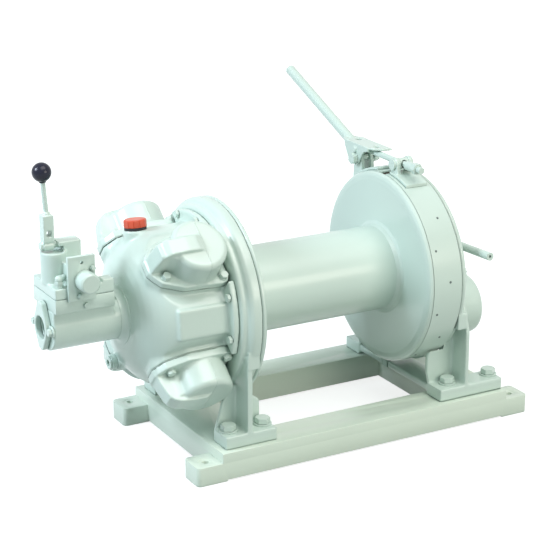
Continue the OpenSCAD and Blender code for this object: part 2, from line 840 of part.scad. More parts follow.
module pilot_elbow()
  color(paint) {
    zrod(9, axis_h + 114, axis_h + 136, -786, -58);
    translate([-786, -58, axis_h + 124])
      cylinder(r = 12, h = 7, $fn = 6);
    translate([-786, -58, axis_h + 136])
      sphere(r = 10);
    translate([-786, -58, axis_h + 136])
      rotate([0, 90, 30])
        cylinder(r = 8, h = 20);
  }

module drum()
  color(paint)
    difference() {
      xrev([[drum_brg_r, flange_x0], [flange_r - 3, flange_x0], [flange_r, flange_x0 + 3],
        [flange_r, flange_x0 + flange_t - 3], [flange_r - 3, flange_x0 + flange_t],
        [barrel_r + 14, flange_x0 + flange_t + 2], [barrel_r + 5, flange_x0 + flange_t + 6],
        [barrel_r, flange_x0 + flange_t + 16], [barrel_r, flange_x1 - 16], [barrel_r + 5, flange_x1 - 6],
        [barrel_r + 14, flange_x1 - 2], [flange_r - 22, flange_x1 - 8], [flange_r - 10, flange_x1 - 7],
        [flange_r - 3, flange_x1 - 4], [flange_r + 1, flange_x1 + 2], [flange_r + 1, flange_x1 + 5],
        [track_r, flange_x1 + 5], [track_r, track_x1], [232, track_x1], [232, flange_x1 + 22],
        [hub_r, flange_x1 + 22], [hub_r, 305.5], [48, 305.5], [48, 224], [50, 224], [50, flange_x1],
        [100, flange_x1 - 14], [100, -280], [drum_brg_r, -280]]);
      // rope anchor: hole through the motor-side flange beside the barrel
      xrod(rope_hole_r, flange_x0 - 1, flange_x0 + 40, 0, axis_h - barrel_r - 18);
    }

module drum_gear()
  color(steel) {
    difference() {
      xgear(z_drum, 293, 304.5, 0, axis_h, 0, 0);
      xrod(hub_r, 280, 310, 0, axis_h);
    }
  }

module drum_bearings()
  color(steel) {
    xrev([[58 + run, -324], [drum_brg_r, -324], [drum_brg_r, -292], [58 + run, -292]]);
    xrev([[shaft_r + run, 186], [50, 186], [50, 222], [shaft_r + run, 222]]);
  }

module shift_pinion()
  color(steel)
    difference() {
      union() {
        xgear(z_pinion, 306.5, 318, 0, axis_h, 0, 0);
        xrod(32, 317, shift_x + 12, 0, axis_h);
        xrod(44, shift_x - 11, shift_x - 7, 0, axis_h);
        xrod(44, shift_x + 7, shift_x + 11, 0, axis_h);
      }
      xrod(shaft_r + run, 300, 402, 0, axis_h);
    }

module layshaft()
  color(steel) {
    xrod(lay_r, 263, 472.5, 0, lay_z);
    xgear(z_laypin, 292.5, 305, 0, lay_z, 1, 1);
    xrod(28, 317.5, 321, 0, lay_z);
  }

module layshaft_gear()
  color(steel)
    difference() {
      xgear(z_lay, 306.5, 317, 0, lay_z, 1, 1);
      xrod(lay_r, 300, 320, 0, lay_z);
      for (a = [30 : 60 : 330])
        translate([0, 0, lay_z])
          rotate([a, 0, 0])
            xrod(16, 300, 320, 0, 64);
    }

module shaft_bearings()
  color(steel) {
    difference() {
      xrod(39.9, wall_x + 51, wall_x + 62, 0, axis_h);
      xrod(shaft_r + run, 360, 435, 0, axis_h);
    }
    difference() {
      xrod(31.9, 462.3, 473, 0, lay_z);
      xrod(lay_r + run, 460, 475, 0, lay_z);
    }
    xrev([[hub_r + run, track_x1 + 3], [79.9, track_x1 + 3], [79.9, track_x1 + 9], [hub_r + run, track_x1 + 9]]);
  }

module friction_discs()
  color([0.35, 0.3, 0.25])
    for (k = [0 : 4])
      difference() {
        xrod(70, 350 + k * 9, 354 + k * 9, 0, lay_z);
        xrod(lay_r, 340, 420, 0, lay_z);
      }

module steel_discs()
  color(steel)
    for (k = [0 : 5])
      difference() {
        xrod(78, 345.5 + k * 9, 349.5 + k * 9, 0, lay_z);
        xrod(lay_r + 3, 340, 420, 0, lay_z);
      }

module brake_springs()
  color(steel) {
    difference() {
      xrod(77.5, 398, 410, 0, lay_z);
      xrod(lay_r + 3, 390, 420, 0, lay_z);
    }
    for (a = [0 : 60 : 300])
      translate([411.9, 0, lay_z])
        rotate([a, 0, 0])
          translate([0, 0, 56])
            rotate([0, 90, 0])
              coil(8, 1.8, 7.5, 6);
  }

module clutch_cover()
  color(paint)
    difference() {
      union() {
        xrev([[0, wall_x], [68, wall_x], [68, wall_x + 7], [54.5, wall_x + 7], [54.5, wall_x + 62], [50, wall_x + 67],
          [0, wall_x + 67]], 64);
        zrod(15, axis_h - 20, lever_z - 20, shift_x, shift_y);
        box(shift_x - 15, shift_x + 25, 40, shift_y, axis_h - 16, axis_h + 19);
      }
      xrev([[0, wall_x - 1], [47, wall_x - 1], [47, wall_x + 51], [40, wall_x + 51], [40, wall_x + 62], [0, wall_x + 62]], 64);
      zrod(rock_r + run, axis_h - 25, lever_z - 0.7, shift_x, shift_y);
      // window of the shift finger
      box(shift_x - 9, shift_x + 20, 30, shift_y - 4, axis_h - 8, axis_h + 8);
      zrod(14, axis_h - 8, axis_h + 8, shift_x, shift_y);
      for (a = [30 : 60 : 330])
        translate([0, 0, axis_h])
          rotate([a, 0, 0])
            xrod(4, 320, 350, 0, 61);
    }

module clutch_lever()
  color(paint) {
    zrod(rock_r, axis_h - 19, lever_z, shift_x, shift_y);
    zrod(12.5, axis_h - 6, axis_h + 6, shift_x, shift_y);
    box(shift_x - 5, shift_x + 5, 42, shift_y, axis_h - 6, axis_h + 6);
    zrod(6, axis_h - 6, axis_h + 6, shift_x, 41);
    zrod(16, lever_z - 19, lever_z + 14, shift_x, shift_y);
    translate([shift_x, shift_y, lever_z])
      rotate([87.5, 0, 0])
        difference() {
          cylinder(r = 11, h = hand_l);
          translate([0, 0, hand_l - 6])
            cylinder(r = 4, h = 10);
        }
  }

module band_gap_cut()
  box(band_x0 - 5, band_x1 + 5, -14, 14, axis_h + 200, axis_h + 300);

module brake_band()
  color(paint)
    difference() {
      xrev([[lin_r1, band_x0], [band_r, band_x0], [band_r, band_x1], [lin_r1, band_x1]], 128);
      band_gap_cut();
      screw_holes();
    }

module brake_lining()
  color([0.3, 0.27, 0.24])
    difference() {
      xrev([[lin_r0, band_x0 + 2], [lin_r1, band_x0 + 2], [lin_r1, band_x1 - 2], [lin_r0, band_x1 - 2]], 128);
      band_gap_cut();
      screw_holes();
    }

// radial frame of screw i round the band
module screws()
  for (i = [0 : 13])
    translate([0, 0, axis_h])
      rotate([47.2 + i * 19.1, 0, 0])
        translate([mid_x + (i % 2 == 0 ? 7 : -28), 0, 0])
          children();

module screw_holes()
  screws()
    translate([0, 0, lin_r0 + 2])
      cylinder(r = 3.2, h = 20, $fn = 16);

module lining_screws()
  color(paint)
    screws()
      translate([0, 0, lin_r0 + 2])
        cylinder(r = 3.2, h = lining_t + band_t - 1.4, $fn = 16);

// saddle that follows the band between two angles from the top
module saddle(y0, y1)
  intersection() {
    xrev([[band_r, band_x0 + 10], [band_r + 8, band_x0 + 10], [band_r + 8, band_x1 - 10], [band_r, band_x1 - 10]], 128);
    box(band_x0, band_x1, y0, y1, axis_h + 100, axis_h + 300);
  }

module rear_lug()
  color(paint)
    difference() {
      union() {
        saddle(40, 196);
        for (x = [mid_x - 21, mid_x + 10])
          xplate([[piv_y - 19, piv_z], [piv_y - 24, band_r - 28 + axis_h - 12], [piv_y - 70, axis_h + band_r - 16],
            [piv_y - 68, axis_h + band_r - 24], [piv_y + 24, axis_h + 202], [piv_y + 19, piv_z]], x, x + 11);
        for (x = [mid_x - 21, mid_x + 10])
          xrod(19, x, x + 11, piv_y, piv_z);
      }
      xrod(bolt_pin_r, mid_x - 60, mid_x + 60, piv_y, piv_z);
      xrod(band_r + 0.01, band_x0 - 5, band_x1 + 5, 0, axis_h);
    }

module front_lug()
  color(paint)
    difference() {
      union() {
        saddle(-104, -20);
        for (x = [mid_x - 27, mid_x + 15])
          xplate([[front_y - 18, rod_z], [front_y - 26, axis_h + band_r - 10], [front_y + 12, axis_h + band_r - 6],
            [front_y + 18, rod_z]], x, x + 12);
        for (x = [mid_x - 27, mid_x + 15])
          xrod(18, x, x + 12, front_y, rod_z);
      }
      xrod(9, mid_x - 60, mid_x + 60, front_y, rod_z);
      xrod(band_r + 0.01, band_x0 - 5, band_x1 + 5, 0, axis_h);
    }

module lug_trunnion()
  color(paint)
    difference() {
      union() {
        xrod(9, mid_x - 30, mid_x + 31, front_y, rod_z);
        xrod(15, mid_x - 14.5, mid_x + 14.5, front_y, rod_z);
        xrod(15, mid_x - 33, mid_x - 27, front_y, rod_z);
      }
      yrod(11, front_y - 30, front_y + 30, mid_x, rod_z);
    }

module pivot_bolt()
  color(paint) {
    xrod(bolt_pin_r, mid_x - 30, mid_x + 44, piv_y, piv_z);
    xhex(28, mid_x - 43, mid_x - 30, piv_y, piv_z);
    xrod(16, mid_x - 30, mid_x - 28.7, piv_y, piv_z);
    xhex(30, mid_x + 29.7, mid_x + 42, piv_y, piv_z);
  }

cheek = [[piv_y - 19, piv_z - 4], [piv_y - 40, piv_z + 24], [piv_y - 62, piv_z + 30], [piv_y - 62, piv_z + 41],
  [piv_y + 92, piv_z + 43], [piv_y + 92, piv_z + 32], [piv_y + 58, piv_z + 24], [piv_y + 40, piv_z - 6],
  [piv_y + 19, piv_z - 4]];

module brake_lever()
  color(paint)
    difference() {
      union() {
        for (x = [mid_x - 28.5, mid_x + 22.5]) {
          xplate([for (q = cheek) q[0] > piv_y + 60 ? [piv_y + 60, q[1]] : q], x, x + 6);
          xrod(19, x, x + 6, piv_y, piv_z);
        }
        translate([0, 0, piv_z + 36])
          linear_extrude(6)
            polygon([[mid_x - 28.5, piv_y - 45], [mid_x - 20, piv_y - 78], [mid_x, piv_y - 95], [mid_x + 28.5, piv_y - 99],
              [mid_x + 28.5, piv_y + 50], [mid_x + 12, piv_y + 96], [mid_x - 12, piv_y + 96],
              [mid_x - 28.5, piv_y + 50]]);
        translate([mid_x, piv_y + 66, piv_z + 30])
          rotate([bar_slope - 90, 0, 0])
            cylinder(d = bar_d, h = bar_l);
        xrod(5.5, mid_x - 34, mid_x + 32, piv_y, rod_z);
        xrod(8.5, mid_x - 34, mid_x - 28, piv_y, rod_z);
      }
      xrod(bolt_pin_r + run, mid_x - 60, mid_x + 60, piv_y, piv_z);
      // lightening holes of the web
      zrod(9, piv_z + 30, piv_z + 50, mid_x + 6, piv_y + 38);
      zrod(8, piv_z + 30, piv_z + 50, mid_x + 2, piv_y - 62);
      box(mid_x - 22.5, mid_x + 22.5, piv_y + 40, piv_y + 58, piv_z, piv_z + 36);
    }

module adjusting_rod()
  color(paint)
    difference() {
      union() {
        yrod(8.5, front_y - 98, piv_y - 8, mid_x, rod_z);
        xrod(9.5, mid_x - 8.5, mid_x + 8.5, piv_y, rod_z);
        box(mid_x - 8.5, mid_x + 8.5, piv_y - 12, piv_y, rod_z - 8, rod_z + 8);
        yrod(13, front_y - 62, front_y - 30, mid_x, rod_z);
        yhex(27, front_y - 80, front_y - 62, mid_x, rod_z);
      }
      xrod(5.5 + run, mid_x - 30, mid_x + 30, piv_y, rod_z);
    }

// stop tab of the band, held in the notch of the tie plate
module band_anchor()
  color(paint)
    difference() {
      box(238, 250, 31, 55, tie_z - 2, axis_h - band_r + 12);
      xrod(band_r + 0.01, band_x0 - 5, band_x1 + 5, 0, axis_h);
    }

base_frame();
left_upright();
right_upright();
case_plate();
case_screws();
foot_bolts();
foot_washers();
motor_housing();
motor_bolts();
cylinder_head_1();
cylinder_head_2();
cylinder_head_3();
cylinder_head_4();
head_gaskets();
head_bolts();
cylinder_liners();
pistons();
piston_pins();
connecting_rods();
crank_bearings();
crankshaft();
rotary_valve();
oil_plug();
filler_seal();
filler_cap();
valve_chest();
inlet_flange();
inlet_bolts();
distributor_plate();
valve_top();
cover_plate();
cover_nuts();
end_cap();
centring_spring();
valve_spool();
throttle_lever();
throttle_knob();
pilot_elbow();
drum();
drum_gear();
drum_bearings();
shift_pinion();
layshaft();
layshaft_gear();
shaft_bearings();
friction_discs();
steel_discs();
brake_springs();
clutch_cover();
clutch_lever();
brake_band();
brake_lining();
lining_screws();
rear_lug();
front_lug();
lug_trunnion();
pivot_bolt();
brake_lever();
adjusting_rod();
band_anchor();
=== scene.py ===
import math

import bmesh
import bpy
import numpy as np
from mathutils import Matrix, Vector
from mathutils.bvhtree import BVHTree


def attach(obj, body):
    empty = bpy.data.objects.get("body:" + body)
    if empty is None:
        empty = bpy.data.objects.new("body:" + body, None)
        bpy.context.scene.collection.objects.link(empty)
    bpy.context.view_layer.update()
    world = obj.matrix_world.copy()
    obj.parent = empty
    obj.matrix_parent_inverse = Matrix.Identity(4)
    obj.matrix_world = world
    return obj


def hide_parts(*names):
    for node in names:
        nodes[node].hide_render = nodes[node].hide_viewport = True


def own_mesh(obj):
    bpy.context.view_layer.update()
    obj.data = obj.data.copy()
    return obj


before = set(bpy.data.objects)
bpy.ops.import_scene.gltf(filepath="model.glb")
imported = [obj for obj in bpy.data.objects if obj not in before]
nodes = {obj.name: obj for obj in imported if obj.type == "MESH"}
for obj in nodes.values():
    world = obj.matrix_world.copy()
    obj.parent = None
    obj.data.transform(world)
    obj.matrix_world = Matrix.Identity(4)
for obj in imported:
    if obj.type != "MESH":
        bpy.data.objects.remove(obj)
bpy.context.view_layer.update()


# Camera and studio
# The camera stands left of the motor end and looks down on the drum, with a long lens. The winch stands on a
# white floor under a large high soft box, with a warm box in front and a cooler one over its motor end.
lens = bpy.data.cameras.new("studio_camera")
sensor = 36.0
frame_px = 552
lens_px = 1733.76
lens.sensor_width = sensor
lens.lens = lens_px / frame_px * sensor
lens.clip_start = 0.1
lens.clip_end = 60
camera = bpy.data.objects.new("studio_camera", lens)
camera.location = (-2.2912, -3.8532, 1.8891)
tilt_down = 18.31
turn_right = 29.156
camera.rotation_euler = (math.radians(90 - tilt_down), 0, math.radians(-turn_right))
bpy.context.scene.collection.objects.link(camera)
bpy.context.scene.camera = camera
bpy.context.scene.view_settings.view_transform = "Standard"


def seen_rays(tree):
    """1 for rays from the camera, a mirror or a glass, 0 for the rays that light things."""
    path = tree.nodes.new("ShaderNodeLightPath")
    first = tree.nodes.new("ShaderNodeMath")
    first.operation = "MAXIMUM"
    both = tree.nodes.new("ShaderNodeMath")
    both.operation = "MAXIMUM"
    tree.links.new(path.outputs["Is Camera Ray"], first.inputs[0])
    tree.links.new(path.outputs["Is Glossy Ray"], first.inputs[1])
    tree.links.new(first.outputs[0], both.inputs[0])
    tree.links.new(path.outputs["Is Transmission Ray"], both.inputs[1])
    return both.outputs[0]


studio = bpy.data.worlds.new("studio")
bpy.context.scene.world = studio
studio.use_nodes = True
sky = studio.node_tree
sky.nodes.clear()
backdrop = sky.nodes.new("ShaderNodeBackground")
backdrop.inputs["Color"].default_value = (1, 1, 1, 1)
backdrop.inputs["Strength"].default_value = 1.0
room = sky.nodes.new("ShaderNodeBackground")
room.inputs["Color"].default_value = (0.78, 1.0, 0.98, 1)
room.inputs["Strength"].default_value = 0.33
choose = sky.nodes.new("ShaderNodeMixShader")
sky_out = sky.nodes.new("ShaderNodeOutputWorld")
sky.links.new(seen_rays(sky), choose.inputs["Fac"])
sky.links.new(room.outputs[0], choose.inputs[1])
sky.links.new(backdrop.outputs[0], choose.inputs[2])
sky.links.new(choose.outputs[0], sky_out.inputs["Surface"])

floor_paper = bpy.data.materials.new("floor_paper")
floor_paper.use_nodes = True
paper = floor_paper.node_tree
paper.nodes.clear()
matt = paper.nodes.new("ShaderNodeBsdfDiffuse")
matt.inputs["Color"].default_value = (0.36, 0.39, 0.38, 1)
glow = paper.nodes.new("ShaderNodeEmission")
glow.inputs["Color"].default_value = (1, 1, 1, 1)
spot = paper.nodes.new("ShaderNodeTexCoord")
away = paper.nodes.new("ShaderNodeVectorMath")
away.operation = "LENGTH"
far = paper.nodes.new("ShaderNodeMapRange")
far.inputs["From Min"].default_value = 0.6
far.inputs["From Max"].default_value = 2.4
far.inputs["To Min"].default_value = 0.80
far.inputs["To Max"].default_value = 1.0
level = paper.nodes.new("ShaderNodeMath")
level.operation = "MULTIPLY"
both_lights = paper.nodes.new("ShaderNodeAddShader")
paper_out = paper.nodes.new("ShaderNodeOutputMaterial")
paper.links.new(spot.outputs["Object"], away.inputs[0])
paper.links.new(away.outputs["Value"], far.inputs["Value"])
paper.links.new(seen_rays(paper), level.inputs[0])
paper.links.new(far.outputs["Result"], level.inputs[1])
paper.links.new(level.outputs[0], glow.inputs["Strength"])
paper.links.new(matt.outputs[0], both_lights.inputs[0])
paper.links.new(glow.outputs[0], both_lights.inputs[1])
paper.links.new(both_lights.outputs[0], paper_out.inputs["Surface"])
floor_mesh = bpy.data.meshes.new("studio_floor")
reach = 14
floor_mesh.from_pydata([(x * reach, y * reach, -0.001) for x, y in ((-1, -1), (1, -1), (1, 1), (-1, 1))],
                       [], [(0, 1, 2, 3)])
floor_mesh.materials.append(floor_paper)
floor = bpy.data.objects.new("studio_floor", floor_mesh)
bpy.context.scene.collection.objects.link(floor)


def soft_box(name, place, aim, size, power, colour):
    """A rectangular lamp at a place, turned towards what it lights."""
    lamp = bpy.data.lights.new(name, "AREA")
    lamp.shape = "RECTANGLE"
    lamp.size, lamp.size_y = size
    lamp.energy = power
    lamp.color = colour
    holder = bpy.data.objects.new(name, lamp)
    holder.location = place
    holder.rotation_euler = (Vector(aim) - Vector(place)).to_track_quat("-Z", "Y").to_euler()
    bpy.context.scene.collection.objects.link(holder)


soft_box("top_box", place=(0.3, -2.6, 6.0), aim=(0, 0, 0.3), size=(5.0, 3.6),
         power=252, colour=(1.0, 0.95, 0.94))
soft_box("front_box", place=(1.4, -4.0, 1.8), aim=(0, 0, 0.1), size=(2.2, 1.4),
         power=57, colour=(1.0, 0.93, 0.83))
soft_box("cool_box", place=(-3.0, 0.6, 2.3), aim=(0.2, 0, 0.4), size=(1.1, 1.1),
         power=98, colour=(0.80, 0.88, 1.0))


# Base frame
# A cast iron frame: two rails, two end cross members and four bolt-down tabs in one piece, fettled on its
# edges. It has the pale grey-green gloss enamel of the rest of the winch, painted lighter and warmer as
# painted light for the warm front light on the low rails.
def enamel(name, colour, peel, casting, gloss):
    """Sprayed enamel: faint clouding, orange peel, sand-cast grain, softened corners, painted shade in the
    grooves.
    """
    finish = bpy.data.materials.new(name)
    finish.use_nodes = True
    t = finish.node_tree
    red, green, blue = colour
    paint = t.nodes["Principled BSDF"]
    paint.inputs["Specular IOR Level"].default_value = 0.5
    paint.inputs["Coat Weight"].default_value = 0.22
    paint.inputs["Coat Roughness"].default_value = 0.14
    where = t.nodes.new("ShaderNodeTexCoord")
    cloud = t.nodes.new("ShaderNodeTexNoise")
    cloud.inputs["Scale"].default_value = 7.0
    cloud.inputs["Detail"].default_value = 5.0
    tint = t.nodes.new("ShaderNodeValToRGB")
    tint.color_ramp.elements[0].position = 0.2
    tint.color_ramp.elements[0].color = tuple(c * 0.965 for c in colour) + (1,)
    tint.color_ramp.elements[1].position = 0.8
    tint.color_ramp.elements[1].color = tuple(colour) + (1,)
    # Painted shade: ambient occlusion darkens the paint towards a deep shade colour in grooves and between
    # parts.
    nearby = t.nodes.new("ShaderNodeAmbientOcclusion")
    nearby.samples = 4
    nearby.inputs["Distance"].default_value = 0.012
    crevice_shade_mask = t.nodes.new("ShaderNodeMapRange")
    crevice_shade_mask.inputs["From Min"].default_value = 0.12
    crevice_shade_mask.inputs["From Max"].default_value = 0.6
    painted_crevice_shade = t.nodes.new("ShaderNodeMix")
    painted_crevice_shade.data_type = "RGBA"
    painted_crevice_shade.inputs["A"].default_value = (red * 0.38, green * 0.46, blue * 0.45, 1)
    fine = t.nodes.new("ShaderNodeTexNoise")
    fine.inputs["Scale"].default_value = 260.0
    fine.inputs["Detail"].default_value = 2.0
    sand = t.nodes.new("ShaderNodeTexNoise")
    sand.inputs["Scale"].default_value = 75.0
    sand.inputs["Detail"].default_value = 6.0
    corner = t.nodes.new("ShaderNodeBevel")
    corner.samples = 4
    corner.inputs["Radius"].default_value = 0.0016
    grain = t.nodes.new("ShaderNodeBump")
    grain.inputs["Strength"].default_value = casting
    grain.inputs["Distance"].default_value = 0.0016
    skin = t.nodes.new("ShaderNodeBump")
    skin.inputs["Strength"].default_value = peel
    skin.inputs["Distance"].default_value = 0.0006
    wet = t.nodes.new("ShaderNodeMapRange")
    wet.inputs["To Min"].default_value = gloss - 0.03
    wet.inputs["To Max"].default_value = gloss + 0.03
    for a, b in (
        (where.outputs["Object"], cloud.inputs["Vector"]),
        (where.outputs["Object"], fine.inputs["Vector"]),
        (where.outputs["Object"], sand.inputs["Vector"]),
        (cloud.outputs["Fac"], tint.inputs["Fac"]),
        (cloud.outputs["Fac"], wet.inputs["Value"]),
        (nearby.outputs["AO"], crevice_shade_mask.inputs["Value"]),
        (crevice_shade_mask.outputs["Result"], painted_crevice_shade.inputs["Factor"]),
        (tint.outputs["Color"], painted_crevice_shade.inputs["B"]),
        (painted_crevice_shade.outputs["Result"], paint.inputs["Base Color"]),
        (wet.outputs["Result"], paint.inputs["Roughness"]),
        (corner.outputs["Normal"], grain.inputs["Normal"]),
        (sand.outputs["Fac"], grain.inputs["Height"]),
        (grain.outputs["Normal"], skin.inputs["Normal"]),
        (fine.outputs["Fac"], skin.inputs["Height"]),
        (skin.outputs["Normal"], paint.inputs["Normal"]),
    ):
        t.links.new(a, b)
    return finish


grey_green = (0.59, 0.71, 0.64)
plate_enamel = enamel("plate_enamel", grey_green, peel=0.10, casting=0.05, gloss=0.30)
cast_enamel = enamel("cast_enamel", grey_green, peel=0.12, casting=0.17, gloss=0.30)
turned_enamel = enamel("turned_enamel", grey_green, peel=0.08, casting=0.03, gloss=0.32)


def solid_copy(node):
    """A node's solid as one closed mesh, its loose triangles joined."""
    shape = bmesh.new()
    shape.from_mesh(nodes[node].data)
    bmesh.ops.remove_doubles(shape, verts=shape.verts, dist=2e-5)
    return shape


def baked(holder):
    """The shape that an object's modifiers give, as its plain mesh."""
    view = bpy.context.evaluated_depsgraph_get()
    view.update()
    result = bpy.data.meshes.new_from_object(holder.evaluated_get(view))
    holder.modifiers.clear()
    holder.data = result
    return result


def put(name, mesh, material, smooth_to=40):
    """A finished piece in the scene, smooth-shaded up to the given corner angle."""
    mesh.materials.clear()
    mesh.materials.append(material)
    mesh.polygons.foreach_set("material_index", [0] * len(mesh.polygons))
    mesh.polygons.foreach_set("use_smooth", [True] * len(mesh.polygons))
    mesh.set_sharp_from_angle(angle=math.radians(smooth_to))
    piece = bpy.data.objects.new(name, mesh)
    bpy.context.scene.collection.objects.link(piece)
    return piece


def eased(name, node, body, material, radius, steps):
    """A node with its edges filed round: flat faces joined, then every hard edge rounded."""
    shape = solid_copy(node)
    bmesh.ops.dissolve_limit(shape, angle_limit=math.radians(0.6), verts=shape.verts, edges=shape.edges)
    mesh = bpy.data.meshes.new(name)
    shape.to_mesh(mesh)
    shape.free()
    piece = put(name, mesh, material)
    edge = piece.modifiers.new("eased_edge", "BEVEL")
    edge.width = radius
    edge.segments = steps
    edge.limit_method = "ANGLE"
    edge.angle_limit = math.radians(28)
    edge.miter_outer = "MITER_ARC"
    edge.harden_normals = False
    mesh = baked(piece)
    mesh.polygons.foreach_set("use_smooth", [True] * len(mesh.polygons))
    mesh.set_sharp_from_angle(angle=math.radians(33))
    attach(piece, body)
    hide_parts(node)
    return piece


def dress(material, *names):
    """A finish for nodes whose own shape is right."""
    for n in names:
        slots = nodes[n].data.materials
        if not slots:
            slots.append(material)
        for i in range(len(slots)):
            slots[i] = material


# Painted light: the frame's enamel is lighter and warmer than the rest, for the warm light on the rails.
base_enamel_painted_light = enamel("base_enamel_painted_light", (0.67, 0.765, 0.655), peel=0.10, casting=0.05, gloss=0.34)
eased("base_casting", "base_frame", "winch", base_enamel_painted_light, radius=0.0022, steps=2)


# Uprights and gear case
# Two iron castings stand on the rails: the motor end's ring, and the brake end's dished gear case with the
# boss of its disc brake. Their corners and inner angles have the soft radii of sand castings.
drum_axis = 0.405


def cast(name, node, body, material, voxel, rounds, share, firm=None):
    """A node's solid as a casting: one skin, rounded over its corners and filleted in its angles.

    share is how many of the fine faces are kept. firm gives how much of the rounding each point takes: 1 all
    of it, less on machined faces."""
    shape = solid_copy(node)
    mesh = bpy.data.meshes.new(name)
    shape.to_mesh(mesh)
    shape.free()
    holder = bpy.data.objects.new(name + "_pattern", mesh)
    bpy.context.scene.collection.objects.link(holder)
    skin = holder.modifiers.new("skin", "REMESH")
    skin.mode = "VOXEL"
    skin.voxel_size = voxel
    mesh = baked(holder)
    count = len(mesh.vertices)
    flat = np.empty(count * 3)
    mesh.vertices.foreach_get("co", flat)
    place = flat.reshape(-1, 3)
    ends = np.empty(len(mesh.edges) * 2, dtype=np.int64)
    mesh.edges.foreach_get("vertices", ends)
    a, b = ends[0::2], ends[1::2]
    neighbours = np.bincount(a, minlength=count) + np.bincount(b, minlength=count)
    neighbours = np.maximum(neighbours, 1)[:, None]
    take = np.ones(count) if firm is None else firm(place)
    take = 0.5 * take[:, None]
    for _ in range(rounds):
        total = [np.bincount(a, weights=place[b, k], minlength=count)
                 + np.bincount(b, weights=place[a, k], minlength=count) for k in range(3)]
        mean = np.stack(total, axis=1) / neighbours
        place = place + take * (mean - place)
    mesh.vertices.foreach_set("co", place.ravel())
    mesh.update()
    fewer = holder.modifiers.new("fewer", "DECIMATE")
    fewer.ratio = share
    mesh = baked(holder)
    bpy.data.objects.remove(holder)
    piece = put(name, mesh, material, smooth_to=50)
    if body:
        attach(piece, body)
        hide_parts(node)
    return piece


def ring_faces(place):
    """The turned faces and rim of the motor end's ring stay crisp."""
    x, y, z = place.T
    out = np.hypot(y, z - drum_axis)
    bore, rim, back, foot = 0.205, 0.268, -0.38, 0.30
    return np.where((out > bore) & (out < rim) & (x > back) & (z > foot), 0.08, 0.45)


def case_faces(place):
    """The turned mouth of the gear case stays crisp."""
    mouth = 0.296
    return np.where(place[:, 0] < mouth, 0.4, 1.0)


cast("motor_end_upright", "left_upright", "winch", cast_enamel,
     voxel=0.0026, rounds=4, share=0.6, firm=ring_faces)
cast("gear_case", "right_upright", "winch", cast_enamel, voxel=0.0027, rounds=5, share=0.4, firm=case_faces)
cast("pinion_cover", "clutch_cover", "winch", cast_enamel, voxel=0.002, rounds=4, share=0.6)
dress(plate_enamel, "case_plate", "case_screws")


